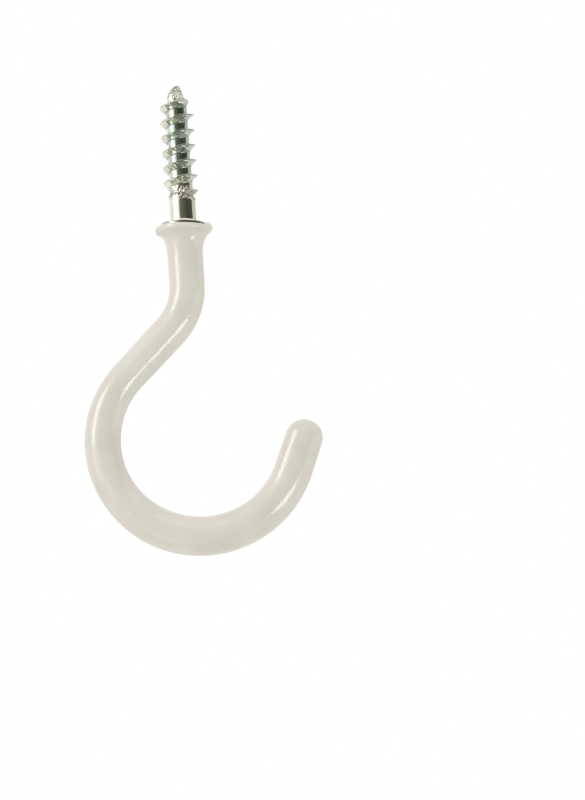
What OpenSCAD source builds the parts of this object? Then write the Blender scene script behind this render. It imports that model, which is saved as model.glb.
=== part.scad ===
// Plant hook that screws into a ceiling beam: one bent steel wire with a rolled wood-screw thread and
// an upset collar, dipped in white vinyl from the collar to the tip.
// The origin is the middle of the collar's seat. The screw runs up +Z and the hook opens towards +X.

/* [Screw] */
// Length of the screw from the collar's seat to its point
screw_length = 19.7; // [14:0.1:30]
// Diameter over the crests of the thread
thread_d = 4.8; // [4.2:0.1:5.6]
// Diameter of the core between the threads
root_d = 2.9; // [2.4:0.1:3.4]
// Rise of the thread in one turn
pitch = 2.16; // [1.8:0.02:2.8]
// Plain shank between the seat and the thread
plain_length = 4; // [3:0.1:6]
// Length over which the core tapers to the point
point_length = 2.9; // [1.5:0.1:4]
// Radius of the blunt end of the point
point_r = 0.45; // [0.2:0.05:0.7]

/* [Thread section] */
// Height of the thread's lower flank, which takes the load
lower_flank = 0.7; // [0.4:0.05:0.9]
// Height of the flat along the crest
crest_land = 0.14; // [0.08:0.02:0.24]
// Height of the thread's upper flank
upper_flank = 0.35; // [0.2:0.05:0.5]
// Height over which the ridge rises out of the shank
run_out = 1.3; // [0.6:0.1:2]
// Height over which the ridge fades away on the point
fade_length = 2.4; // [1:0.1:3]
// Length at the end of the point that has no thread
bare_point = 1; // [0.6:0.1:1.4]
// Angle round the screw at which the thread ends
point_clock = 150; // [0:5:355]

/* [Wire and collar] */
// Diameter of the wire and of the plain shank
wire_d = 3.7; // [3.4:0.1:4.2]
// Diameter of the collar
collar_d = 6.4; // [5.4:0.1:8]
// Thickness of the collar
collar_t = 1.2; // [0.8:0.1:2]
// Fillet between the shank and the collar's seat
seat_fillet = 0.55; // [0.2:0.05:0.7]
// Bevel round the collar's edges
collar_bevel = 0.12; // [0.05:0.01:0.2]

/* [Hook] */
// Straight drop from the seat to the first bend
drop = 8.6; // [6:0.1:20]
// Radius of the first bend along the middle of the wire
bend_r = 9; // [4:0.1:14]
// Angle of the first bend, and so the lean of the diagonal
bend_angle = 45.5; // [30:0.5:60]
// Length of the straight diagonal
diagonal_length = 8.7; // [4:0.1:16]
// Radius of the round hook along the middle of the wire
hook_r = 13.55; // [9:0.05:22]
// Angle that the wire turns through round the hook
hook_sweep = 204; // [170:0.5:230]
// Straight stretch at the end of the hook, up to the middle of its dome
tip_length = 4.8; // [1:0.1:10]

/* [Vinyl] */
// Thickness of the vinyl on the drop and the diagonal
drop_coat = 0.61; // [0.3:0.01:1]
// Thickness of the vinyl round the lower part of the hook, where the dip gathered
hook_coat = 0.88; // [0.4:0.01:1.4]
// Thickness of the vinyl at the tip
tip_coat = 0.75; // [0.4:0.01:1.4]
// Angle round the hook over which the vinyl thickens
gather_sweep = 105; // [60:5:150]
// Thickness of the vinyl round the collar
lip_coat = 0.8; // [0.6:0.05:1.6]
// Thickness of the vinyl under the collar's edge
under_coat = 0.25; // [0.15:0.05:0.5]
// Bare steel left between the seat and the lip
lip_reveal = 0.35; // [0.15:0.05:0.5]
// Radius of the flare under the lip
flare_r = 2.6; // [1.6:0.1:3.2]

/* [Hidden] */
$fn = 96;

wire_r = wire_d / 2;
root_r = root_d / 2;
thread_r = thread_d / 2;
collar_r = collar_d / 2;
drop_coat_r = wire_r + drop_coat;

// The shank's shoulder is a cone whose small end stays this far inside the core
shoulder_height = 0.6;
shoulder_bite = 0.2;

// Ends of the bends, in the plane of the hook
bend_end = [bend_r * (cos(bend_angle) - 1), -drop - bend_r * sin(bend_angle)];
hook_start = bend_end - diagonal_length * [sin(bend_angle), cos(bend_angle)];
hook_centre = hook_start + hook_r * [cos(bend_angle), -sin(bend_angle)];
hook_from = 180 - bend_angle;
hook_to = hook_from + hook_sweep;
hook_end = hook_centre + hook_r * [cos(hook_to), sin(hook_to)];

// Straight stretches are a hair slimmer than the bends and run a little way into them
seam_step = 0.01;
seam_reach = 0.2;

// The vinyl thickens round the hook in small steps, each running a little way into the next
gather_steps = 9;
gather_angle = gather_sweep / gather_steps;
gather_lap = 0.5;

// The lip's edge is a circle as high as the collar and its vinyl, and the flare is a hollow circle that
// bites a little into it and ends on the drop. The lip's flat top lies just under the circle's own top.
lip_bite = 0.04;
lip_dip = 0.02;
lip_r = (collar_t + under_coat - lip_reveal) / 2;
lip_centre = [collar_r + lip_coat - lip_r, lip_dip - lip_reveal - lip_r];
flare_reach = drop_coat_r + flare_r - lip_centre.x;
flare_span = flare_r + lip_r - lip_bite;
flare_centre = [drop_coat_r + flare_r, lip_centre.y - sqrt(flare_span ^ 2 - flare_reach ^ 2)];

// The thread is one section of a single turn, carried up a helix in small steps. Its points are
// [height in the turn, share of the ridge]: mid root, foot, crest, crest and foot.
steps = 36;
crest_z = (pitch + lower_flank - crest_land - upper_flank) / 2;
section = [
    [0, 0],
    [crest_z - lower_flank, 0],
    [crest_z, 1],
    [crest_z + crest_land, 1],
    [crest_z + crest_land + upper_flank, 0]
];
tip_gap = 0.25;
point_bulge = 1.5;
turns = ceil((screw_length - tip_gap - plain_length) / pitch);
last_step = turns * steps;
thread_base = screw_length - tip_gap - pitch * (turns + 1);

// Share of the way through a ramp, held between 0 and 1
function ramp(z, from, length) = min(1, max(0, (z - from) / length));

// Radius of the core, and height of the ridge on it, at a height on the screw
function core_r(z) =
    root_r + (point_r - root_r) * ramp(z, screw_length - point_length, point_length) ^ point_bulge;
function ridge_h(z) = (thread_r - root_r) * ramp(z, plain_length, run_out)
    * (1 - ramp(z, screw_length - bare_point - fade_length, fade_length));

// A point of the section at a step of the helix, and its place in the list of points. The point past
// the section's last one is the first one of the turn above.
function thread_point(step, i) =
    let (z = thread_base + pitch * step / steps + section[i][0])
    let (r = core_r(z) + section[i][1] * ridge_h(z), angle = point_clock + 360 * step / steps)
    [r * cos(angle), r * sin(angle), z];
function thread_index(step, i) =
    i == len(section) ? thread_index(step + steps, 0)
    : step <= last_step ? step * len(section) + i
    : (last_step + 1) * len(section) + step - last_step - 1;

// The closed edge of the thread's skin at one end: once round the helix and back down the section
function thread_edge(step) = concat(
    [for (s = [step : step + steps - 1]) thread_index(s, 0)],
    [for (i = [len(section) : -1 : 1]) thread_index(step, i)]
);

// Core and ridge of the thread, closed inside the shank below and at the point above
module thread() {
    points = concat(
        [for (step = [0 : last_step]) for (i = [0 : len(section) - 1]) thread_point(step, i)],
        [for (step = [last_step + 1 : last_step + steps]) thread_point(step, 0)],
        [[0, 0, thread_base + pitch / 2], [0, 0, screw_length]]
    );
    base = len(points) - 2;
    apex = len(points) - 1;
    lower = thread_edge(0);
    upper = thread_edge(last_step);
    skin = [
        for (step = [0 : last_step - 1]) for (i = [0 : len(section) - 1])
        let (a = thread_index(step, i), b = thread_index(step + 1, i))
        let (c = thread_index(step + 1, i + 1), d = thread_index(step, i + 1))
        each [[a, c, b], [a, d, c]]
    ];
    lower_fan = [for (i = [0 : len(lower) - 1]) [base, lower[i], lower[(i + 1) % len(lower)]]];
    upper_fan = [for (i = [0 : len(upper) - 1]) [apex, upper[(i + 1) % len(upper)], upper[i]]];
    polyhedron(points = points, faces = concat(skin, lower_fan, upper_fan), convexity = 10);
}

// Plain shank and collar, turned about the screw's axis
module shank_and_collar() {
    rotate_extrude()
        difference() {
            polygon([
                [0, -collar_t],
                [collar_r - collar_bevel, -collar_t],
                [collar_r, collar_bevel - collar_t],
                [collar_r, -collar_bevel],
                [collar_r - collar_bevel, 0],
                [wire_r + seat_fillet, 0],
                [wire_r + seat_fillet, seat_fillet],
                [wire_r, seat_fillet],
                [wire_r, plain_length],
                [root_r - shoulder_bite, plain_length + shoulder_height],
                [0, plain_length + shoulder_height]
            ]);
            translate([wire_r + seat_fillet, seat_fillet])
                circle(r = seat_fillet);
        }
}

// A round bar bent in the plane of the hook, about a centre there
module bent_bar(centre, bend, bar_r, from, sweep) {
    translate([centre.x, 0, centre.y])
        rotate([90, 0, 0])
            rotate_extrude(angle = sweep, start = from)
                translate([bend, 0])
                    circle(r = bar_r);
}

// Half the section of a round bar that starts a little below its end face, tapers and ends in a dome
module domed_bar(foot_r, dome_r, length) {
    polygon([[0, -seam_reach], [foot_r, -seam_reach], [dome_r, length], [0, length]]);
    translate([0, length])
        intersection() {
            circle(r = dome_r);
            square(dome_r);
        }
}

// The round part of the hook, as a bar that thickens from its upper end and then keeps its radius
module round_hook(upper_r, lower_r) {
    gathers = lower_r != upper_r ? gather_steps : 0;
    for (i = [0 : 1 : gathers - 1])
        bent_bar(
            hook_centre,
            hook_r,
            upper_r + (lower_r - upper_r) * (i + 0.5) / gather_steps,
            hook_from + i * gather_angle,
            gather_angle + gather_lap
        );
    bent_bar(
        hook_centre,
        hook_r,
        lower_r,
        hook_from + gathers * gather_angle,
        hook_sweep - gathers * gather_angle
    );
}

// A round section carried along the bent wire from a height below the seat to the domed tip. Its
// radius has one value down to the hook, another round the hook's lower part and a third at the tip.
module along_wire(top, upper_r, lower_r, tip_r) {
    translate([0, 0, -drop - seam_reach])
        cylinder(r = upper_r - seam_step, h = drop - top + 2 * seam_reach);
    bent_bar([-bend_r, -drop], bend_r, upper_r, -bend_angle, bend_angle);
    translate([bend_end.x, 0, bend_end.y])
        rotate([0, 180 + bend_angle, 0])
            translate([0, 0, -seam_reach])
                cylinder(r = upper_r - seam_step, h = diagonal_length + 2 * seam_reach);
    round_hook(upper_r, lower_r);
    translate([hook_end.x, 0, hook_end.y])
        rotate([0, -hook_to, 0])
            rotate_extrude()
                domed_bar(lower_r - seam_step, tip_r - seam_step, tip_length);
}

// Everything of the steel but its thread
module plain_steel() {
    shank_and_collar();
    along_wire(collar_t, wire_r, wire_r, wire_r);
}

// Rounded lip round the collar, flaring down to the drop
module lip() {
    rotate_extrude() {
        difference() {
            polygon([
                [0, -lip_reveal],
                [lip_centre.x, -lip_reveal],
                lip_centre,
                flare_centre,
                [0, flare_centre.y]
            ]);
            translate(flare_centre)
                circle(r = flare_r);
        }
        translate(lip_centre)
            circle(r = lip_r);
    }
}

// Zinc-plated steel hook: thread, shank, collar and bent wire in one piece
module steel_hook() {
    color("#B4B8B4") {
        thread();
        plain_steel();
    }
}

// White vinyl dipped over the collar's edge and the whole bent wire
module vinyl_coating() {
    color("#D8D5CA")
        difference() {
            union() {
                lip();
                along_wire(-flare_centre.y, drop_coat_r, wire_r + hook_coat, wire_r + tip_coat);
            }
            plain_steel();
        }
}

steel_hook();
vinyl_coating();
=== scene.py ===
"""Looks of a plant hook: a zinc-plated steel screw hook that was dipped in white vinyl.

Lengths of the hook are in millimetres, and those of the panels and the floor are in metres. Angles are
in degrees where they are fields, and angles round the screw or the wire are in radians. Heights are
measured up the screw from the collar's seat, and a station along the wire is measured down from it, so
on the screw and the drop a station is minus a height.
"""

import logging
import math
from dataclasses import dataclass
from enum import Enum

import bpy
import numpy as np
from mathutils import Matrix, Vector


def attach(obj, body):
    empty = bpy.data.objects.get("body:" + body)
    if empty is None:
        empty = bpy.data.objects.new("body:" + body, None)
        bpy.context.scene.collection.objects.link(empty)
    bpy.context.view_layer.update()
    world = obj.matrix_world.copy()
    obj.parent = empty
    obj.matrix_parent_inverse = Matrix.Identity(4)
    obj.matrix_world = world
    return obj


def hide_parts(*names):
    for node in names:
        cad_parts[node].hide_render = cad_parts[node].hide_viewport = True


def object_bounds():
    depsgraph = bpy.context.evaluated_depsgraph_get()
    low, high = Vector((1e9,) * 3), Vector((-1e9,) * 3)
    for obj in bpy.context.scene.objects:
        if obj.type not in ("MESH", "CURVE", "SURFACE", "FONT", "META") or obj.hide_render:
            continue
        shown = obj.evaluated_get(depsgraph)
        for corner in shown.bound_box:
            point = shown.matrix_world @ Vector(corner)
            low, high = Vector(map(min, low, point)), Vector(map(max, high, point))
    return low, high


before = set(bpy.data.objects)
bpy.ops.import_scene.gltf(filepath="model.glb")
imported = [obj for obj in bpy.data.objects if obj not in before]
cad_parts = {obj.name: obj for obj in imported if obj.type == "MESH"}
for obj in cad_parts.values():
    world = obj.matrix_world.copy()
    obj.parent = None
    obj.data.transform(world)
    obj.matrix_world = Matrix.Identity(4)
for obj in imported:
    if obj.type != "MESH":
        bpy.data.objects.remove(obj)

MM = 0.001
FULL_TURN = 2.0 * math.pi
LOG = logging.getLogger("plant_hook")
CAD_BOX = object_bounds()


class Node(Enum):
    """CAD nodes that a piece stands for."""

    STEEL = "steel_hook"
    VINYL = "vinyl_coating"


class Slot(Enum):
    """Material slots of the record."""

    ZINC = "zinc_steel"
    VINYL = "white_vinyl"


class Body(Enum):
    """CAD bodies that a piece rides on."""

    ROOT = "root"


def linear(colour: str) -> tuple[float, float, float, float]:
    """Turns an sRGB hex colour to linear light, by the sRGB curve: a line near black, then a power.

    Args:
        colour: Six hex digits after a hash sign.

    Returns:
        Red, green, blue and an alpha of 1.
    """
    shares = [int(colour[place:place + 2], 16) / 255 for place in (1, 3, 5)]
    red, green, blue = (
        share / 12.92 if share <= 0.04045 else ((share + 0.055) / 1.055) ** 2.4 for share in shares
    )
    return red, green, blue, 1.0


def ramp(value: np.ndarray, start: float | np.ndarray, end: float | np.ndarray) -> np.ndarray:
    """Rises smoothly from 0 at start to 1 at end, as 3t² - 2t³ of the share t of the way.

    Args:
        value: Places along the ramp.
        start: Place where it leaves 0.
        end: Place where it reaches 1, which may lie below start.

    Returns:
        The ramp's value at each place.
    """
    share = np.clip((value - start) / (end - start), 0.0, 1.0)
    return share * share * (3.0 - 2.0 * share)


def line(start: tuple[float, float], end: tuple[float, float], count: int) -> np.ndarray:
    """Gives evenly spaced points from start to end, both included, as rows of two."""
    return np.linspace(start, end, count)


def arc(centre: tuple[float, float], radius: float, start: float, end: float, count: int) -> np.ndarray:
    """Gives points on a circle: the centre plus the radius times the cosine and sine of an even angle.

    Args:
        centre: Centre of the circle.
        radius: Its radius.
        start: First angle, in degrees.
        end: Last angle, in degrees.
        count: Number of points.

    Returns:
        An array of count rows of two.
    """
    angle = np.radians(np.linspace(start, end, count))
    return np.array(centre) + radius * np.column_stack([np.cos(angle), np.sin(angle)])


@dataclass(frozen=True)
class WirePath:
    """Middle line of the bent wire, in the plane of the hook.

    It drops from the seat, bends away from the open side, runs down a diagonal, turns round the hook
    and ends in a short straight.
    """

    drop: float = 8.6
    bend_r: float = 9.0
    bend_angle: float = 45.5
    diagonal: float = 8.7
    hook_r: float = 13.55
    hook_sweep: float = 204.0
    tip: float = 4.8

    def stretches(self) -> list[tuple[float, float]]:
        """Lists the stretches from the seat to the tip.

        Returns:
            The length of each stretch and the angle that it turns through, in radians.
        """
        bend, sweep = math.radians(self.bend_angle), math.radians(self.hook_sweep)
        return [
            (self.drop, 0.0),
            (self.bend_r * bend, -bend),
            (self.diagonal, 0.0),
            (self.hook_r * sweep, sweep),
            (self.tip, 0.0),
        ]

    def ends(self) -> list[float]:
        """Lists the station at which each stretch ends."""
        return list(np.cumsum([length for length, _ in self.stretches()]))

    def length(self) -> float:
        """Gives the station of the middle of the tip's dome."""
        return self.ends()[-1]

    def at(self, station: np.ndarray) -> tuple[np.ndarray, np.ndarray]:
        """Works out the middle line and its normal in the plane of the hook.

        The heading starts straight down and changes evenly along each arc. A straight adds its run
        times the heading, and an arc adds the change of the heading's sine and cosine over its
        curvature. The first and last straights go on past their ends.

        Args:
            station: Distances along the wire, of any shape.

        Returns:
            The points and the unit normals, each with a last axis of three.
        """
        x, z = np.zeros_like(station), np.zeros_like(station)
        heading = np.full_like(station, -math.pi / 2)
        start, low = 0.0, -math.inf
        pieces = self.stretches()
        for number, (length, turn) in enumerate(pieces):
            high = math.inf if number == len(pieces) - 1 else length
            run = np.clip(station - start, low, high)
            curve = turn / length
            after = heading + curve * run
            if turn:
                x += (np.sin(after) - np.sin(heading)) / curve
                z -= (np.cos(after) - np.cos(heading)) / curve
            else:
                x += run * np.cos(heading)
                z += run * np.sin(heading)
            heading, start, low = after, start + length, 0.0
        flat = np.zeros_like(station)
        return np.stack([x, flat, z], -1), np.stack([-np.sin(heading), flat, np.cos(heading)], -1)


@dataclass(frozen=True)
class Relief:
    """Smooth random relief of about one size, the same in every run."""

    size: float
    seed: int
    waves: int = 14
    fewest: float = 0.7
    most: float = 1.4

    def at(self, points: np.ndarray) -> np.ndarray:
        """Adds up plane waves with seeded headings, numbers and phases.

        A wave is the sine of a full turn times its number of waves to the size, times the way along
        its heading over the size, plus its phase. The number lies between fewest and most. The sum is
        divided by the root of half the count of waves.

        Args:
            points: Points, with a last axis of three.

        Returns:
            Heights whose root mean square is about 1.
        """
        draw = np.random.default_rng(self.seed)
        heading = draw.normal(size=(3, self.waves))
        number = draw.uniform(self.fewest, self.most, self.waves)
        heading *= number / (np.linalg.norm(heading, axis=0) * self.size)
        phase = draw.uniform(0.0, FULL_TURN, self.waves)
        return np.sin(FULL_TURN * (points @ heading) + phase).sum(-1) / math.sqrt(self.waves / 2)


@dataclass(frozen=True)
class Collar:
    """Collar that was upset on the wire, which is a little out of square with the screw."""

    radius: float = 3.2
    thickness: float = 1.2
    bevel: float = 0.12
    fillet: float = 0.55
    tilt: float = 2.0
    tilt_above: float = 0.6
    tilt_below: float = 3.4

    def tilted(
        self, station: np.ndarray, radius: np.ndarray, angle: np.ndarray, tilt: np.ndarray,
    ) -> np.ndarray:
        """Tilts the stations round the collar.

        Each point goes down by its distance towards the open side times the tangent of the tilt. The
        tilt is whole from the seat to the collar's underside, and fades out along the shank above it
        and along the flare below it.

        Args:
            station: Stations of the points.
            radius: Their distances from the middle line.
            angle: Their angles round it.
            tilt: Their tilts, in degrees.

        Returns:
            The tilted stations.
        """
        fade = ramp(station, -self.tilt_above, 0.0) * ramp(station, self.tilt_below, self.thickness)
        return station + fade * np.tan(np.radians(tilt)) * radius * np.cos(angle)


PATH = WirePath()
COLLAR = Collar()
WIRE_R = 1.85


def sweep(station: np.ndarray, radius: np.ndarray, angle: np.ndarray, tilt: np.ndarray) -> np.ndarray:
    """Carries a round section along the wire.

    A point is the middle line at its station plus its radius times the cosine of its angle along the
    normal and the sine of its angle along +Y.

    Args:
        station: Stations, one row for each ring and one column for each angle.
        radius: Radii, of the same shape.
        angle: Angles, of the same shape.
        tilt: Tilts at the collar, in degrees, of the same shape or one for each ring.

    Returns:
        Points of the rings, with a last axis of three.
    """
    centre, normal = PATH.at(COLLAR.tilted(station, radius, angle, tilt))
    across = np.array([0.0, 1.0, 0.0])
    outward = np.cos(angle)[..., None] * normal + np.sin(angle)[..., None] * across
    return centre + radius[..., None] * outward


def closed_skin(name: str, rings: np.ndarray, first: np.ndarray, last: np.ndarray) -> bpy.types.Object:
    """Makes one closed mesh of rings, joined by quads and closed by a fan at each end.

    Args:
        name: Name of the piece.
        rings: Points in millimetres, by ring and by place round it.
        first: The point that closes the first ring.
        last: The point that closes the last ring.

    Returns:
        The piece, linked to the scene, at the origin.
    """
    count, around = rings.shape[:2]
    index = np.arange(count * around).reshape(count, around)
    beside = np.roll(index, -1, axis=1)
    poles = np.full(around, count * around), np.full(around, count * around + 1)
    quads = np.stack([index[:-1], index[1:], beside[1:], beside[:-1]], -1).reshape(-1, 4)
    fans = np.concatenate([
        np.column_stack([poles[0], index[0], beside[0]]),
        np.column_stack([index[-1], poles[1], beside[-1]]),
    ])
    starts = np.concatenate([4 * np.arange(len(quads)), 4 * len(quads) + 3 * np.arange(len(fans))])
    corners = np.concatenate([quads.ravel(), fans.ravel()])
    points = np.concatenate([rings.reshape(-1, 3), first[None], last[None]]) * MM

    mesh = bpy.data.meshes.new(name)
    mesh.vertices.add(len(points))
    mesh.vertices.foreach_set("co", points.astype(np.float32).ravel())
    mesh.loops.add(len(corners))
    mesh.loops.foreach_set("vertex_index", corners.astype(np.int32))
    mesh.polygons.add(len(starts))
    mesh.polygons.foreach_set("loop_start", starts.astype(np.int32))
    mesh.update(calc_edges=True)
    mesh.validate()
    mesh.shade_smooth()
    piece = bpy.data.objects.new(name, mesh)
    bpy.context.scene.collection.objects.link(piece)
    return piece


def mark(piece: bpy.types.Object, name: str, values: np.ndarray) -> None:
    """Stores a number at each point of a closed skin's rings, with 0 at its two ends.

    Args:
        piece: The piece.
        name: Name of the attribute.
        values: Numbers by ring and by place round it.
    """
    attribute = piece.data.attributes.new(name, "FLOAT", "POINT")
    attribute.data.foreach_set("value", np.append(values, [0.0, 0.0]).astype(np.float32))


def add_node(
    tree: bpy.types.NodeTree,
    kind: str,
    inputs: dict[str | int, object] | None = None,
    **settings: object,
) -> bpy.types.Node:
    """Adds a node with its settings and links.

    Args:
        tree: Tree that gets the node.
        kind: Blender's name of the node's type.
        inputs: Value, or the output socket to link, for each input by its name or number.
        settings: Values of the node's own properties.

    Returns:
        The new node.
    """
    node = tree.nodes.new(kind)
    for name, value in settings.items():
        setattr(node, name, value)
    for name, value in (inputs or {}).items():
        if isinstance(value, bpy.types.NodeSocket):
            tree.links.new(value, node.inputs[name])
        else:
            node.inputs[name].default_value = value
    return node


def set_ramp(node: bpy.types.Node, stops: list[tuple[float, str]]) -> None:
    """Sets a colour ramp's stops.

    Args:
        node: The Color Ramp node.
        stops: Place and sRGB hex colour of each stop, in order.
    """
    elements = node.color_ramp.elements
    while len(elements) < len(stops):
        elements.new(1.0)
    for element, (place, colour) in zip(elements, stops):
        element.position = place
        element.color = linear(colour)


def per_metre(size: float) -> float:
    """Gives a noise scale, in waves to a metre, from a real size in millimetres."""
    return 1.0 / (size * MM)


def new_material(name: str) -> tuple[bpy.types.Material, bpy.types.NodeTree]:
    """Makes a node material with nothing in its tree.

    Args:
        name: Name of the material.

    Returns:
        The material and its tree.
    """
    material = bpy.data.materials.new(name)
    material.use_nodes = True
    material.node_tree.nodes.clear()
    return material, material.node_tree


@dataclass(frozen=True)
class ZincPlate:
    """Bright zinc plate on rolled steel, passivated.

    The plate mirrors its surroundings softly. The passivation pooled in the thread and tints it
    teal there, in patches. The steel is duller where it was torn or worn: on the nipped point, round
    the shoulder, in the corners under the ridge and on the collar's edge. One mask darkens it: as
    tarnish on the point, round the shoulder and in the chips, and as painted shade on the crests, in
    the corners under the ridge and on the collar's edge.
    """

    bright: str = "#EFEDDD"
    teal: str = "#AFC6BC"
    dark: str = "#77776C"
    roughness: float = 0.15
    torn_roughness: float = 0.3
    patch_size: float = 1.3
    patch_low: float = 0.34
    patch_high: float = 0.58
    pit_size: float = 0.2
    pit_depth: float = 0.05
    pit_strength: float = 0.08

    def material(self) -> bpy.types.Material:
        """Builds the plate's nodes.

        Returns:
            The material.
        """
        material, tree = new_material("zinc_plate_passivated")
        place = add_node(tree, "ShaderNodeTexCoord").outputs["Object"]
        torn = add_node(tree, "ShaderNodeAttribute", attribute_name="torn").outputs["Fac"]
        # painted shade and tarnish: one mask that darkens the crests, the corners under the ridge and the
        # collar's edge as painted shade, and the point, shoulder and chips as tarnish
        painted_shade_and_tarnish = add_node(tree, "ShaderNodeAttribute", attribute_name="painted_shade_and_tarnish").outputs["Fac"]
        pooled = add_node(tree, "ShaderNodeAttribute", attribute_name="pooled").outputs["Fac"]
        patches = add_node(tree, "ShaderNodeTexNoise", {
            "Vector": place, "Scale": per_metre(self.patch_size), "Detail": 3.0, "Roughness": 0.6,
        }).outputs["Fac"]
        pits = add_node(tree, "ShaderNodeTexNoise", {
            "Vector": place, "Scale": per_metre(self.pit_size), "Detail": 2.0, "Roughness": 0.5,
        }).outputs["Fac"]
        patchy = add_node(tree, "ShaderNodeMapRange", {
            "Value": patches, "From Min": self.patch_low, "From Max": self.patch_high, "To Max": pooled,
        }).outputs["Result"]
        tint = add_node(tree, "ShaderNodeMix", {
            "Factor": patchy, "A": linear(self.bright), "B": linear(self.teal),
        }, data_type="RGBA")
        # the dark colour mixed in by that mask, as painted shade and tarnish
        colour = add_node(tree, "ShaderNodeMix", {
            "Factor": painted_shade_and_tarnish, "A": tint.outputs["Result"], "B": linear(self.dark),
        }, data_type="RGBA")
        gloss = add_node(tree, "ShaderNodeMapRange", {
            "Value": torn, "To Min": self.roughness, "To Max": self.torn_roughness,
        })
        relief = add_node(tree, "ShaderNodeBump", {
            "Height": pits, "Strength": self.pit_strength, "Distance": self.pit_depth * MM,
        })
        shader = add_node(tree, "ShaderNodeBsdfPrincipled", {
            "Base Color": colour.outputs["Result"], "Metallic": 1.0, "Roughness": gloss.outputs["Result"],
            "Normal": relief.outputs["Normal"],
        })
        add_node(tree, "ShaderNodeOutputMaterial", {"Surface": shader.outputs["BSDF"]})
        return material


@dataclass(frozen=True)
class DippedVinyl:
    """White PVC plastisol, dipped hot and cured.

    The dip leaves a thick, glossy, slightly uneven skin in a warm off-white, with faint cloudy
    patches and a long soft waviness that bends its highlights.
    """

    pale: str = "#DDD8CD"
    cloudy: str = "#D6D2C5"
    roughness: float = 0.18
    ior: float = 1.53
    patch_size: float = 5.0
    cloudy_to: float = 0.35
    pale_from: float = 0.65
    wave_size: float = 3.0
    wave_depth: float = 0.1
    wave_strength: float = 0.05

    def material(self) -> bpy.types.Material:
        """Builds the vinyl's nodes.

        Returns:
            The material.
        """
        material, tree = new_material("pvc_plastisol_dipped")
        place = add_node(tree, "ShaderNodeTexCoord").outputs["Object"]
        patches = add_node(tree, "ShaderNodeTexNoise", {
            "Vector": place, "Scale": per_metre(self.patch_size), "Detail": 2.0, "Roughness": 0.5,
        })
        tint = add_node(tree, "ShaderNodeValToRGB", {"Fac": patches.outputs["Fac"]})
        set_ramp(tint, [(self.cloudy_to, self.cloudy), (self.pale_from, self.pale)])
        waves = add_node(tree, "ShaderNodeTexNoise", {
            "Vector": place, "Scale": per_metre(self.wave_size), "Detail": 0.0,
        })
        relief = add_node(tree, "ShaderNodeBump", {
            "Height": waves.outputs["Fac"], "Strength": self.wave_strength, "Distance": self.wave_depth * MM,
        })
        shader = add_node(tree, "ShaderNodeBsdfPrincipled", {
            "Base Color": tint.outputs["Color"], "Roughness": self.roughness, "IOR": self.ior,
            "Normal": relief.outputs["Normal"],
        })
        add_node(tree, "ShaderNodeOutputMaterial", {"Surface": shader.outputs["BSDF"]})
        return material


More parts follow.
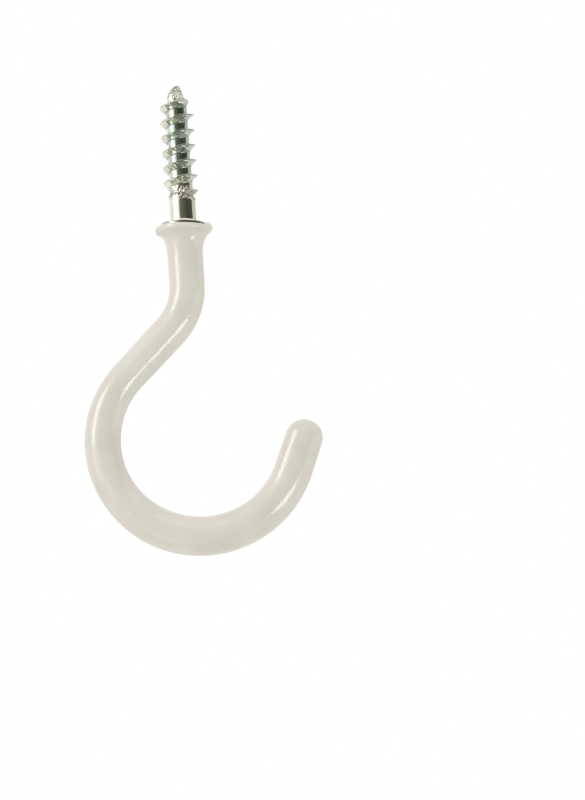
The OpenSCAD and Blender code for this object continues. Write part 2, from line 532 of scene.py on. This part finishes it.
@dataclass(frozen=True)
class Thread:
    """Rolled right-hand wood-screw thread on a core that tapers to a nipped point."""

    # Screw, and the shank's shoulder, which slants across it
    length: float = 19.7
    foot: float = 2.4
    shoulder: float = 3.55
    shoulder_slant: float = 0.47
    slant_angle: float = 58.0
    shoulder_fall: float = 0.45
    shank_fade_from: float = 5.0
    shank_fade_to: float = 6.0

    # Core and ridge
    pitch: float = 2.16
    crest_low: float = 2.4
    crest_high: float = 2.38
    core_low: float = 1.64
    core_high: float = 1.4
    crest_height: float = 6.85
    crest_land: float = 0.1
    crest_round: float = 0.1
    lower_flank: float = 0.78
    upper_flank: float = 0.34
    upper_power: float = 1.2
    root_share: float = 0.1
    root_round: float = 0.03
    run_out: float = 1.6
    fade_from: float = 16.4
    fade_to: float = 19.1

    # Point with its nipped flat, and how far the screw strays from its axis
    point_from: float = 16.8
    point_r: float = 0.34
    point_neck: float = 1.14
    point_bulge: float = 3.0
    point_lean: float = 0.24
    lean_power: int = 6
    thread_lean: float = -0.04
    lean_turns: float = 2.0
    nip_angle: float = -51.0
    nip_from: float = 17.6
    nip_depth: float = 0.9
    nip_least: float = 0.36
    nip_cosine: float = 0.05

    # Torn flat and grooved point, ragged crests, chips round the shoulder, dull corners
    torn: Relief = Relief(size=0.34, seed=3)
    torn_height: float = 0.024
    groove_height: float = 0.03
    groove_squeeze: float = 0.3
    groove_before: float = 0.2
    groove_after: float = 0.4
    ragged: Relief = Relief(size=0.8, seed=5)
    ragged_share: float = 0.035
    chipped: Relief = Relief(size=0.5, seed=8)
    chip_height: float = 0.045
    chip_below: float = 0.6
    chip_full: float = 0.8
    chip_above: float = 1.6
    dull_wide: float = 0.2
    dull_full: float = 0.1

    # Painted shade on the crests and in the corners, and tarnish along the shoulder, in the chips and on the
    # point
    crest_painted_shade: float = 0.85
    crest_under: float = 0.1
    flank_loss: float = 0.4
    flank_from: float = 0.08
    flank_to: float = 0.2
    corner_painted_shade: float = 0.5
    corner_wide: float = 0.14
    corner_full: float = 0.05
    shoulder_tarnish: float = 0.75
    shoulder_up: float = 0.1
    shoulder_wide: float = 0.25
    shoulder_full: float = 0.1
    chip_tarnish: float = 0.4
    point_tarnish: float = 0.6
    flat_tarnish: float = 0.2
    tarnish_before: float = 0.2
    tarnish_after: float = 0.3
    border_wide: float = 0.13

    # Passivation that pooled in the roots
    pool_from: float = 5.0
    pool_full: float = 9.0
    pool_end: float = 0.6
    pool_least: float = 0.3

    def start(self, angle: np.ndarray) -> np.ndarray:
        """Gives the height of the shank's shoulder, which slants across the screw."""
        return self.shoulder - self.shoulder_slant * np.cos(angle - math.radians(self.slant_angle))

    def taper(self, height: np.ndarray, low: float, high: float) -> np.ndarray:
        """Goes evenly from low at the shoulder to high at the start of the point."""
        along = np.clip((height - self.shoulder) / (self.point_from - self.shoulder), 0.0, 1.0)
        return low + (high - low) * along

    def pointed(self, height: np.ndarray) -> np.ndarray:
        """Gives the share of the way along the point, from 0 at its start to 1 at its tip."""
        return np.clip((height - self.point_from) / (self.length - self.point_from), 0.0, 1.0)

    def lean(self, height: np.ndarray) -> np.ndarray:
        """Gives how far the screw strays from its axis, a little along the thread and more at the tip."""
        along = ramp(height, self.shoulder, self.shoulder + self.lean_turns * self.pitch)
        return self.thread_lean * along + self.point_lean * self.pointed(height) ** self.lean_power

    def core(self, height: np.ndarray) -> np.ndarray:
        """Gives the core's radius.

        It tapers evenly from the shoulder to the start of the point and draws in to a neck by a ramp.
        From there it falls to the point's own radius by the share of the way to a power, which keeps
        the point full.

        Args:
            height: Heights on the screw.

        Returns:
            The core's radius at each height.
        """
        body = self.taper(height, self.core_low, self.core_high)
        body = body + (self.point_neck - body) * ramp(height, self.point_from, self.nip_from)
        return body + (self.point_r - body) * self.pointed(height) ** self.point_bulge

    def off_crest(self, height: np.ndarray, angle: np.ndarray) -> np.ndarray:
        """Gives the height over the nearest crest, which climbs one pitch in each turn.

        Args:
            height: Heights on the screw.
            angle: Angles round the screw.

        Returns:
            Heights from the foot of the root, below 0, to the top of the upper flank.
        """
        off = height - self.crest_height - self.pitch * angle / FULL_TURN
        return (off + self.reach()) % self.pitch - self.reach()

    def reach(self) -> float:
        """Gives how far the ridge and its root reach below the crest."""
        return self.pitch - self.upper_flank - self.crest_land

    def ridge(self, height: np.ndarray, angle: np.ndarray) -> np.ndarray:
        """Gives the height of the ridge over the core.

        Below the crest, a straight flank falls to a root that slopes gently down to the next crest,
        as the smooth larger of two lines. Above it, the ridge falls over a short flank, as the share
        of the flank to a power. The section is the smooth least of both sides and of 1, which rounds
        the crest. Smooth means the log of a sum of exponentials. The ridge rises out of the shank over
        the run-out and fades away on the point.

        Args:
            height: Heights on the screw.
            angle: Angles round the screw.

        Returns:
            The ridge's height at each place.
        """
        off = self.off_crest(height, angle)
        down = -off - self.crest_land / 2
        fin, root = 1.0 - down / self.lower_flank, self.root_share * (1.0 - down / self.reach())
        below = self.root_round * np.logaddexp(fin / self.root_round, root / self.root_round)
        over = (off - self.crest_land / 2) / self.upper_flank
        above = np.clip(1.0 - over, 0.0, None) ** self.upper_power
        least = np.logaddexp(-below / self.crest_round, -above / self.crest_round)
        section = np.clip(-self.crest_round * np.logaddexp(least, -1.0 / self.crest_round), 0.0, 1.0)
        low = self.start(angle)
        rise = ramp(height, low, low + self.run_out)
        fade = ramp(height, self.fade_to, self.fade_from)
        tall = self.taper(height, self.crest_low - self.core_low, self.crest_high - self.core_high)
        return tall * rise * fade * section

    def nip(self, height: np.ndarray, angle: np.ndarray) -> np.ndarray:
        """Gives the radius that the flat of the nipped point leaves.

        The flat is a plane whose distance from the axis falls towards the tip, and a radius reaches
        that distance over the cosine of its angle from the flat's middle.

        Args:
            height: Heights on the screw.
            angle: Angles round the screw.

        Returns:
            The largest radius at each place.
        """
        share = (height - self.nip_from) / (self.length - self.nip_from)
        depth = self.nip_depth * np.clip(1.0 - share, self.nip_least, None)
        facing = np.cos(angle - math.radians(self.nip_angle))
        reached = depth / np.maximum(facing, self.nip_cosine)
        return np.where((share > 0) & (facing > self.nip_cosine), reached, np.inf)

    def chips(self, height: np.ndarray, angle: np.ndarray) -> np.ndarray:
        """Gives how chipped the screw is: on the shoulder and where the thread runs out over it.

        Args:
            height: Heights on the screw.
            angle: Angles round the screw.

        Returns:
            The chipped share, which rises to the shoulder and falls over it, each by a ramp.
        """
        low = self.start(angle)
        rise = ramp(height, low - self.chip_below, low)
        return rise * ramp(height, low + self.chip_above, low + self.chip_full)

    def painted_shade_and_tarnish(self, height: np.ndarray, angle: np.ndarray) -> np.ndarray:
        """Gives how dark the screw is, as painted shade and as tarnish.

        Painted shade lies on the crest and weaker over its upper flank, and gathers in the corner under
        the lower flank. Tarnish lies along the shoulder and in the chips over it, and covers the point,
        most of all along the border of its flat. Each of these is a ramp, and the largest counts.

        Args:
            height: Heights on the screw, one for each ring.
            angle: Angles round the screw.

        Returns:
            The share of painted shade and tarnish, by ring and by angle.
        """
        low, off = self.start(angle), self.off_crest(height, angle)
        weaker = 1.0 - self.flank_loss * ramp(off, self.flank_from, self.flank_to)
        # painted shade: the crest's upper edge and the corner under the lower flank are darkened as if shaded
        crest = self.crest_painted_shade * ramp(off, -self.crest_under, 0.0) * weaker
        from_corner = np.abs(off + self.lower_flank)
        corner = self.corner_painted_shade * ramp(from_corner, self.corner_wide, self.corner_full)
        ridge = np.maximum(crest, corner) * ramp(height, low, low + self.run_out)
        from_shoulder = np.abs(height - low - self.shoulder_up)
        edge = self.shoulder_tarnish * ramp(from_shoulder, self.shoulder_wide, self.shoulder_full)
        ridge = np.maximum(ridge, np.maximum(edge, self.chip_tarnish * self.chips(height, angle)))
        point = ramp(height, self.nip_from - self.tarnish_before, self.nip_from + self.tarnish_after)
        inside = self.nip(height, angle) - self.core(height)
        border = 1.0 - ramp(np.abs(inside), 0.0, self.border_wide)
        skin = np.where(inside < 0, self.flat_tarnish, self.point_tarnish)
        return np.maximum(ridge * (1.0 - point), np.maximum(skin, border) * point)

    def pooled(self, height: np.ndarray, angle: np.ndarray) -> np.ndarray:
        """Gives how much passivation pooled: in the roots of the upper thread, and none on the point.

        It grows up the thread by a ramp, and falls with the ridge's share of its full height.

        Args:
            height: Heights on the screw, one for each ring.
            angle: Angles round the screw.

        Returns:
            The pooled share, by ring and by angle.
        """
        along = ramp(height, self.pool_from, self.pool_full)
        along = along * ramp(height, self.nip_from, self.nip_from - self.pool_end)
        share = self.ridge(height, angle) / (self.crest_high - self.core_high)
        return along * np.clip(1.0 - share, self.pool_least, 1.0)

    def radius(self, height: np.ndarray, angle: np.ndarray) -> tuple[np.ndarray, np.ndarray]:
        """Gives the screw's outer radius and how torn it is.

        The radius is the larger of the shank with its shoulder and the core with its ridge, cut by
        the nip. The crest is ragged, the run-out chipped, the flat torn and the rest of the point
        grooved lengthwise, each by a relief of its own size. The corner under the lower flank is as
        dull as torn steel.

        Args:
            height: Heights on the screw, one for each ring.
            angle: Angles round the screw.

        Returns:
            The radius and the torn share, by ring and by angle.
        """
        core, ridge = self.core(height), self.ridge(height, angle)
        smooth = core + ridge
        rows = np.broadcast_to(height, smooth.shape)
        points = np.stack([smooth * np.cos(angle), smooth * np.sin(angle), rows], -1)
        screw = core + ridge * (1.0 + self.ragged_share * self.ragged.at(points))
        low = self.start(angle)
        shank = WIRE_R + (core - WIRE_R) * ramp(height, low, low + self.shoulder_fall)
        shank = shank * (1.0 - ramp(height, self.shank_fade_from, self.shank_fade_to))
        limit = self.nip(height, angle)
        flat = limit < screw
        whole = np.maximum(np.minimum(screw, limit), shank)
        point = ramp(height, self.nip_from - self.groove_before, self.nip_from + self.groove_after)
        squeezed = points * np.array([1.0, 1.0, self.groove_squeeze])
        grooves = self.groove_height * point * self.torn.at(squeezed)
        rough = np.where(flat, self.torn_height * self.torn.at(points), grooves)
        chips = self.chips(height, angle)
        chipped = self.chip_height * chips * self.chipped.at(points)
        from_corner = np.abs(self.off_crest(height, angle) + self.lower_flank)
        corner = ramp(from_corner, self.dull_wide, self.dull_full) * (1.0 - point)
        torn = np.maximum(np.maximum(chips, corner), np.where(flat, 1.0, point))
        return whole + rough + chipped, torn


@dataclass
class SteelHook:
    """Steel wire hook in one piece: screw, collar, and the bent wire inside the vinyl."""

    thread: Thread
    finish: ZincPlate
    around: int = 160
    thread_step: float = 0.036
    wire_step: float = 1.2
    crease: float = 35.0
    shank_rows: int = 7
    round_rows: int = 9
    rim_rows: int = 4
    flat_rows: int = 3
    rim_gap: float = 0.01
    # bevel and rim: rougher with wear, and darkened as painted shade along the collar's edge
    bevel_wear_and_shade: float = 1.0
    rim_wear_and_shade: float = 0.7

    def plain_profile(self) -> np.ndarray:
        """Draws the section from the shank to the wire under the collar.

        Straight lines make the shank, the seat, the bevels and the rim, and a quarter circle fills the
        corner between the shank and the seat. A small gap parts the wear and painted shade of the bevel
        from the rim's.

        Returns:
            Rows of radius, station and wear with painted shade, which is both how torn the steel is and how
            much painted shade darkens the collar's edge.
        """
        collar = COLLAR
        foot, edge = WIRE_R + collar.fillet, collar.radius - collar.bevel
        rim_end = collar.thickness - collar.bevel
        clean = np.concatenate([
            line((WIRE_R, -self.thread.foot), (WIRE_R, -collar.fillet), self.shank_rows)[1:],
            arc((foot, -collar.fillet), collar.fillet, 180.0, 90.0, self.round_rows)[1:],
            line((foot, 0.0), (edge, 0.0), self.flat_rows)[1:],
        ])
        bevel = line((edge, 0.0), (collar.radius, collar.bevel), self.flat_rows)[1:]
        rim = np.concatenate([
            line((collar.radius, collar.bevel + self.rim_gap), (collar.radius, rim_end), self.rim_rows),
            line((collar.radius, rim_end), (edge, collar.thickness), self.flat_rows)[1:],
            line((edge, collar.thickness), (WIRE_R, collar.thickness), self.flat_rows)[1:],
        ])
        # the bevel and rim rows carry wear and painted shade, the clean rows neither
        return np.concatenate([
            np.column_stack([clean, np.zeros(len(clean))]),
            np.column_stack([bevel, np.full(len(bevel), self.bevel_wear_and_shade)]),
            np.column_stack([rim, np.full(len(rim), self.rim_wear_and_shade)]),
        ])

    def wire_profile(self) -> np.ndarray:
        """Draws the bent wire and its domed end, a straight line and a quarter circle.

        Returns:
            Rows of radius, station and no wear or painted shade.
        """
        end = PATH.length()
        rows = round((end - COLLAR.thickness) / self.wire_step)
        dome = arc((0.0, end), WIRE_R, 0.0, 90.0, self.round_rows)[1:-1]
        wire = np.concatenate([line((WIRE_R, COLLAR.thickness), (WIRE_R, end), rows)[1:], dome])
        return np.column_stack([wire, np.zeros(len(wire))])

    def build(self) -> bpy.types.Object:
        """Builds the hook from the point of the screw down to the end of the wire.

        The rings of the screw lie square to its axis, close enough together to draw the ridge, and
        stray from it as the screw leans. The rest is a section carried along the wire.

        Returns:
            The piece.
        """
        thread = self.thread
        rows = round((thread.length - thread.foot) / self.thread_step)
        height = np.linspace(thread.length - self.thread_step, thread.foot, rows)[:, None]
        angle = np.linspace(0.0, FULL_TURN, self.around, endpoint=False)[None, :]
        profile = np.concatenate([self.plain_profile(), self.wire_profile()])
        plain = np.broadcast_to(profile[:, None, :], (len(profile), self.around, 3))
        screw_r, screw_torn = thread.radius(height, angle)
        radius = np.concatenate([screw_r, plain[..., 0]])
        shape = radius.shape
        station = np.broadcast_to(np.concatenate([-height, profile[:, 1:2]]), shape)
        rings = sweep(station, radius, np.broadcast_to(angle, shape), np.full(shape, COLLAR.tilt))
        rings[..., 0] += thread.lean(-station)
        tip = np.array([float(thread.lean(np.array(thread.length))), 0.0, thread.length])
        end = PATH.at(np.array(PATH.length() + WIRE_R))[0]
        piece = closed_skin("steel_screw_hook", rings, tip, end)
        piece.data.set_sharp_from_angle(angle=math.radians(self.crease))
        # wear and painted shade of the plain rows: it roughens them and darkens the collar's edge as painted
        # shade
        wear_and_shade = plain[..., 2]
        mark(piece, "torn", np.concatenate([screw_torn, wear_and_shade]))
        mark(piece, "pooled", np.concatenate([thread.pooled(height, angle), np.zeros(wear_and_shade.shape)]))
        mark(piece, "painted_shade_and_tarnish", np.concatenate([thread.painted_shade_and_tarnish(height, angle), wear_and_shade]))
        return piece

    def dress(self, piece: bpy.types.Object) -> None:
        """Gives the piece its finish and its place in the frame.

        Args:
            piece: The steel hook.
        """
        piece.data.materials.append(self.finish.material())
        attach(piece, Body.ROOT.value)
        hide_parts(Node.STEEL.value)


@dataclass
class VinylCoat:
    """Vinyl skin over the wire, from the lip round the collar to the closed tip."""

    finish: DippedVinyl
    around: int = 112
    step: float = 0.3
    inner_step: float = 1.2
    gap: float = 0.01
    crease: float = 50.0
    hole_rows: int = 9
    under_rows: int = 4
    side_rows: int = 3
    dome_rows: int = 16

    # Lip and flare round the collar
    reveal: float = 0.43
    reveal_slant: float = 0.25
    rise_from: float = 0.78
    lip_out: float = 0.8
    lip_under: float = 0.25
    lip_lift: float = 0.13
    lip_points: int = 26
    flare_r: float = 2.3
    flare_wider: float = 0.9
    flare_angle: float = 48.0
    flare_stretch: float = 0.78

    # Outer radius from place to place down the wire, and two of those places as shares of the hook
    drop_r: float = 2.47
    hook_start_r: float = 2.41
    hook_side_r: float = 2.55
    bottom_r: float = 2.75
    arm_r: float = 2.66
    tip_r: float = 2.6
    side_share: float = 0.25
    bottom_share: float = 0.6

    def outer(self, station: np.ndarray) -> np.ndarray:
        """Gives the skin's outer radius along the wire.

        The dip is a little thin where the hook begins, gathers towards the bottom and thins again
        up the arm. The radius goes from each of these places to the next by a smooth ramp.

        Args:
            station: Stations along the wire.

        Returns:
            The radius at each station.
        """
        _, _, hook, arm, tip = PATH.ends()
        side = hook + self.side_share * (arm - hook)
        bottom = hook + self.bottom_share * (arm - hook)
        places = [hook - PATH.diagonal / 2, hook, side, bottom, arm, tip]
        radii = [self.drop_r, self.hook_start_r, self.hook_side_r, self.bottom_r, self.arm_r, self.tip_r]
        steps = [
            (high - low) * ramp(station, start, end)
            for low, high, start, end in zip(radii, radii[1:], places, places[1:])
        ]
        return self.drop_r + sum(steps)

    def lip_rows(self, angle: np.ndarray) -> np.ndarray:
        """Draws the lip and its flare round the collar, as radius and station.

        The lip's edge is a circle from the collar's side round to the flare, which is a hollow circle
        that touches it and ends on the drop. The bare edge over the lip widens with the cosine of the
        angle, and near the open side of the hook the lip rises over it, by a ramp of the cosine. On
        the closed side the lip's underside is higher, by such a ramp too. The flare's radius goes with
        the cosine of the angle from its widest side. Away from that side it is drawn out along the
        drop, by the square of the run from the lip over the whole run.

        Args:
            angle: Angles round the collar, in one row.

        Returns:
            Points from the collar's side to the drop, by row, by angle and as radius and station.
        """
        side = np.cos(angle)
        under = COLLAR.thickness + self.lip_under - self.lip_lift * ramp(-side, 0.0, 1.0)
        reveal = self.reveal + self.reveal_slant * side
        lip_r = (under - reveal * (1.0 - ramp(side, self.rise_from, 1.0))) / 2
        lip_centre, lip_station = COLLAR.radius + self.lip_out - lip_r, under - lip_r
        facing = np.cos(angle - math.radians(self.flare_angle))
        flare_r = self.flare_r + self.flare_wider * facing
        flare_centre = self.drop_r + flare_r
        inner = np.arccos((COLLAR.radius + self.gap - lip_centre) / lip_r)
        fall = np.sqrt((flare_r + lip_r) ** 2 - (flare_centre - lip_centre) ** 2)
        touch = -np.arctan2(fall, flare_centre - lip_centre)
        lip_turn = inner + (touch - inner) * np.linspace(0.0, 1.0, self.lip_points)[:, None]
        flare_turn = touch * np.linspace(1.0, 0.0, self.lip_points)[1:, None] + math.pi
        span = fall + lip_r * np.sin(touch)
        run = span - flare_r * np.sin(flare_turn)
        longer = self.flare_stretch * (1.0 - facing) * run * run / span
        lip_end = lip_station - lip_r * np.sin(touch)
        lip = np.stack([lip_centre + lip_r * np.cos(lip_turn), lip_station - lip_r * np.sin(lip_turn)], -1)
        flare = np.stack([flare_centre + flare_r * np.cos(flare_turn), lip_end + run + longer], -1)
        return np.concatenate([lip, flare])

    def inner_profile(self) -> np.ndarray:
        """Draws the inside from the end of the wire up to the lip, a quarter circle and straight lines.

        Returns:
            Rows of radius and station.
        """
        end, hole = PATH.length(), WIRE_R + self.gap
        rows = round((end - COLLAR.thickness) / self.inner_step)
        under, side = COLLAR.thickness + self.gap, COLLAR.radius + self.gap
        return np.concatenate([
            arc((0.0, end), hole, 90.0, 0.0, self.hole_rows)[1:],
            line((hole, end), (hole, under), rows)[1:],
            line((hole, under), (side, under), self.under_rows)[1:],
            line((side, under), (side, self.reveal + self.lip_out / 2), self.side_rows)[1:],
        ])

    def outer_rows(self, start: np.ndarray) -> np.ndarray:
        """Draws the outside from the flare's end to the tip's dome, as radius and station.

        Args:
            start: Station at which the flare ends, at each angle.

        Returns:
            Points by row, by angle and as radius and station.
        """
        end = PATH.length()
        rows = round((end - start.min()) / self.step)
        station = start + (end - start) * np.linspace(0.0, 1.0, rows)[1:, None]
        wall = np.stack([self.outer(station), station], -1)
        dome = arc((0.0, end), self.tip_r, 0.0, 90.0, self.dome_rows)[1:-1, None, :]
        return np.concatenate([wall, np.broadcast_to(dome, (len(dome), *wall.shape[1:]))])

    def build(self) -> bpy.types.Object:
        """Builds the skin from the end of its hole, up the inside, over the lip and down to the tip.

        Returns:
            The piece.
        """
        angle = np.linspace(0.0, FULL_TURN, self.around, endpoint=False)
        inner = self.inner_profile()[:, None, :]
        inner = np.broadcast_to(inner, (len(inner), self.around, 2))
        lip = self.lip_rows(angle)
        rows = np.concatenate([inner, lip, self.outer_rows(lip[-1, :, 1])])
        tilt = np.where(np.arange(len(rows)) < len(inner), COLLAR.tilt, 0.0)[:, None]
        rings = sweep(rows[..., 1], rows[..., 0], np.broadcast_to(angle, rows.shape[:2]), tilt)
        hole_end, tip_end = PATH.at(PATH.length() + np.array([WIRE_R + self.gap, self.tip_r]))[0]
        piece = closed_skin("dipped_vinyl_coat", rings, hole_end, tip_end)
        piece.data.set_sharp_from_angle(angle=math.radians(self.crease))
        return piece

    def dress(self, piece: bpy.types.Object) -> None:
        """Gives the piece its finish and its place in the frame.

        Args:
            piece: The vinyl coat.
        """
        piece.data.materials.append(self.finish.material())
        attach(piece, Body.ROOT.value)
        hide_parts(Node.VINYL.value)


@dataclass(frozen=True)
class View:
    """Camera at the photograph's angle, a little below the hook and rolled with it."""

    image_w: int = 585
    image_h: int = 800
    seat_px: tuple[float, float] = (183.4, 224.4)
    mm_per_px: float = 0.139
    rise: float = 12.0
    roll: float = 3.43
    distance: float = 2500.0
    sensor: float = 36.0
    near: float = 10.0
    far: float = 20000.0

    def axes(self) -> tuple[Vector, Vector, Vector]:
        """Works out the camera's axes: it looks up by the rise, and is then rolled.

        Returns:
            The right, up and backward axes.
        """
        rise, roll = math.radians(self.rise), math.radians(self.roll)
        up = Vector((0.0, -math.sin(rise), math.cos(rise)))
        right = Vector((1.0, 0.0, 0.0))
        return (
            right * math.cos(roll) - up * math.sin(roll),
            right * math.sin(roll) + up * math.cos(roll),
            Vector((0.0, -math.cos(rise), -math.sin(rise))),
        )

    def build(self) -> None:
        """Makes the camera so that the seat lies at its pixel and a millimetre has its size there."""
        right, up, back = self.axes()
        across = (self.image_w / 2 - self.seat_px[0]) * self.mm_per_px
        down = (self.seat_px[1] - self.image_h / 2) * self.mm_per_px
        place = (right * across + up * down + back * self.distance) * MM
        data = bpy.data.cameras.new("front_camera")
        data.sensor_width = self.sensor
        data.lens = self.sensor * self.distance / (self.image_h * self.mm_per_px)
        data.clip_start, data.clip_end = self.near * MM, self.far * MM
        camera = bpy.data.objects.new("front_camera", data)
        turn = Matrix((right, up, back)).transposed().to_4x4()
        camera.matrix_world = Matrix.Translation(place) @ turn
        bpy.context.scene.collection.objects.link(camera)
        bpy.context.scene.camera = camera


@dataclass(frozen=True)
class Panel:
    """A flat panel that faces the hook, placed by its direction from it."""

    name: str
    azimuth: float
    elevation: float
    width: float
    height: float
    distance: float = 0.9

    def matrix(self) -> Matrix:
        """Places the panel and turns its face to the middle of the hook.

        Azimuth 0 is in front, at -Y, and grows towards +X.

        Returns:
            The panel's place and turn.
        """
        azimuth, elevation = math.radians(self.azimuth), math.radians(self.elevation)
        away = Vector((
            math.sin(azimuth) * math.cos(elevation),
            -math.cos(azimuth) * math.cos(elevation),
            math.sin(elevation),
        ))
        low, high = CAD_BOX
        turn = away.to_track_quat("Z", "Y").to_matrix().to_4x4()
        return Matrix.Translation((low + high) / 2 + away * self.distance) @ turn


@dataclass(frozen=True)
class Lamp(Panel):
    """A soft box that lights the hook and isn't seen."""

    power: float = 1.0

    def build(self) -> None:
        """Makes the lamp."""
        data = bpy.data.lights.new(self.name, "AREA")
        data.shape = "RECTANGLE"
        data.size, data.size_y = self.width, self.height
        data.energy = self.power
        lamp = bpy.data.objects.new(self.name, data)
        lamp.matrix_world = self.matrix()
        lamp.visible_camera = False
        lamp.visible_glossy = False
        bpy.context.scene.collection.objects.link(lamp)


@dataclass(frozen=True)
class Card(Panel):
    """A card that only shows in reflections: a bright one for a highlight or a dark one for depth."""

    colour: str = "#FFFFFF"
    strength: float = 1.0

    def build(self) -> None:
        """Makes the card as a flat panel of one colour."""
        across, up = self.width / 2, self.height / 2
        corners = [(-across, -up, 0.0), (across, -up, 0.0), (across, up, 0.0), (-across, up, 0.0)]
        mesh = bpy.data.meshes.new(self.name)
        mesh.from_pydata(corners, [], [(0, 1, 2, 3)])
        mesh.transform(self.matrix())
        material, tree = new_material(self.name)
        glow = add_node(tree, "ShaderNodeEmission", {"Color": linear(self.colour), "Strength": self.strength})
        add_node(tree, "ShaderNodeOutputMaterial", {"Surface": glow.outputs["Emission"]})
        mesh.materials.append(material)
        card = bpy.data.objects.new(self.name, mesh)
        card.visible_camera = False
        card.visible_diffuse = False
        card.visible_shadow = False
        card.visible_transmission = False
        bpy.context.scene.collection.objects.link(card)


@dataclass(frozen=True)
class Studio:
    """White room, pale floor, soft lamps and cards."""

    fill: float = 0.92
    room_colour: str = "#FFFFFF"
    floor_height: float = -1.9
    floor_half: float = 12.0
    floor_colour: str = "#FAFAF8"
    panels: tuple[Lamp | Card, ...] = (
        Lamp("side_box", azimuth=-61.0, elevation=24.0, width=0.2, height=0.6, distance=0.8, power=1.1),
        Lamp("low_box", azimuth=60.0, elevation=-50.0, width=0.4, height=0.4, distance=0.8, power=0.4),
        Card(
            "high_strip", azimuth=-60.0, elevation=24.0, width=0.33, height=0.42, distance=0.8,
            strength=5.8,
        ),
        Card(
            "strip_tail", azimuth=-63.0, elevation=2.0, width=0.24, height=0.24, distance=0.8,
            strength=2.4,
        ),
        Card(
            "low_strip", azimuth=46.5, elevation=-21.5, width=0.29, height=0.21, distance=0.8,
            strength=7.6,
        ),
        Card("left_card", azimuth=-82.0, elevation=-62.0, width=0.5, height=0.42, colour="#A2A79E"),
        Card("lobe_card", azimuth=-132.0, elevation=-33.0, width=0.95, height=0.55, colour="#FAF9F6"),
        Card("edge_card", azimuth=-102.0, elevation=0.0, width=0.1, height=1.3, colour="#A8ACA2"),
        Card("dim_card", azimuth=-13.0, elevation=-4.0, width=0.47, height=1.31, colour="#6C6C60"),
        Card("mid_card", azimuth=13.0, elevation=-4.0, width=0.41, height=1.31, colour="#56584D"),
        Card("dark_card", azimuth=59.0, elevation=20.0, width=1.26, height=0.5, colour="#43463C"),
        Card("low_dark", azimuth=40.0, elevation=-18.0, width=0.54, height=0.8, colour="#43463C"),
        Card(
            "under_card", azimuth=76.0, elevation=-71.0, width=1.6, height=0.95, distance=0.95,
            colour="#7C8882",
        ),
        Card("grey_card", azimuth=128.0, elevation=9.0, width=1.05, height=0.78, colour="#CDCFC4"),
        Card(
            "tooth_card", azimuth=128.0, elevation=-28.0, width=1.05, height=0.62, distance=0.88,
            colour="#D9DCDC",
        ),
    )

    def room(self) -> None:
        """Makes the world white to the camera and in reflections, and plain fill light for the rest."""
        world = bpy.data.worlds.new("white_room")
        bpy.context.scene.world = world
        world.use_nodes = True
        tree = world.node_tree
        tree.nodes.clear()
        rays = add_node(tree, "ShaderNodeLightPath")
        seen = add_node(tree, "ShaderNodeMath", {
            0: rays.outputs["Is Camera Ray"], 1: rays.outputs["Is Glossy Ray"],
        }, operation="MAXIMUM")
        shown = add_node(tree, "ShaderNodeMath", {
            0: seen.outputs[0], 1: rays.outputs["Is Transmission Ray"],
        }, operation="MAXIMUM")
        strength = add_node(tree, "ShaderNodeMapRange", {
            "Value": shown.outputs[0], "To Min": self.fill, "To Max": 1.0,
        })
        light = add_node(tree, "ShaderNodeBackground", {
            "Color": linear(self.room_colour), "Strength": strength.outputs["Result"],
        })
        add_node(tree, "ShaderNodeOutputWorld", {"Surface": light.outputs["Background"]})

    def floor(self) -> None:
        """Makes the floor, well below the hook."""
        half, height = self.floor_half, self.floor_height
        mesh = bpy.data.meshes.new("pale_floor")
        corners = [(-half, -half, height), (half, -half, height), (half, half, height), (-half, half, height)]
        mesh.from_pydata(corners, [], [(0, 1, 2, 3)])
        material, tree = new_material("pale_floor")
        shader = add_node(tree, "ShaderNodeBsdfDiffuse", {"Color": linear(self.floor_colour)})
        add_node(tree, "ShaderNodeOutputMaterial", {"Surface": shader.outputs["BSDF"]})
        mesh.materials.append(material)
        floor = bpy.data.objects.new("pale_floor", mesh)
        bpy.context.scene.collection.objects.link(floor)

    def build(self) -> None:
        """Makes the room, the floor and the panels."""
        bpy.context.scene.view_settings.view_transform = "Standard"
        self.room()
        self.floor()
        for panel in self.panels:
            panel.build()


def main() -> None:
    """Builds the camera, the room and the two pieces, and reports each piece."""
    logging.basicConfig(level=logging.INFO, format="%(name)s: %(message)s")
    View().build()
    Studio().build()
    for part in (SteelHook(Thread(), ZincPlate()), VinylCoat(DippedVinyl())):
        piece = part.build()
        part.dress(piece)
        LOG.info("%s: %d faces", piece.name, len(piece.data.polygons))


if __name__ == "__main__":
    main()
